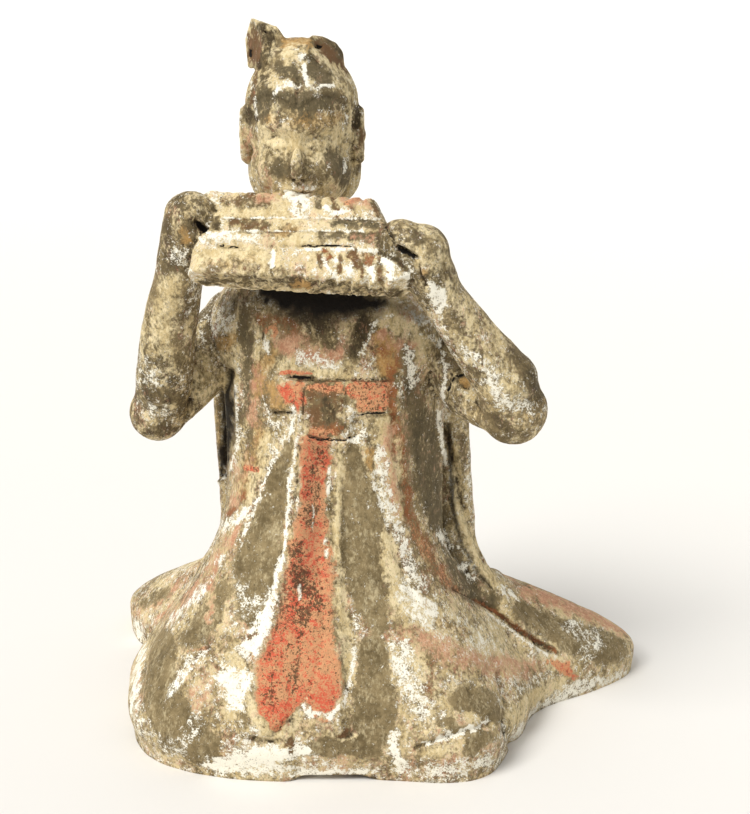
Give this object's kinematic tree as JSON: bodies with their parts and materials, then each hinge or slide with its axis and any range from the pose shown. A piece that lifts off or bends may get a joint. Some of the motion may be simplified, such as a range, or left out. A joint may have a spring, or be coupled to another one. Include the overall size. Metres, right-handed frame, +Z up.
{
  "type": "terracotta musician figure",
  "caption": "Kneeling terracotta musician in a flared robe who holds panpipes to the mouth, with worn slip and paint and a broken cap.",
  "frame": {"origin": "on the surface that the figure kneels on, under the middle of its bounding box", "axes": "+Z up, the figure faces -Y, +X is the figure's own left"},
  "size_m": [0.3228, 0.2196, 0.3841],
  "materials": {
    "painted_terracotta": "matt fired grey-brown clay with worn white slip and traces of red and ochre paint"
  },
  "bodies": {
    "root": {"musician_figure": "painted_terracotta"}
  },
  "joints": []
}
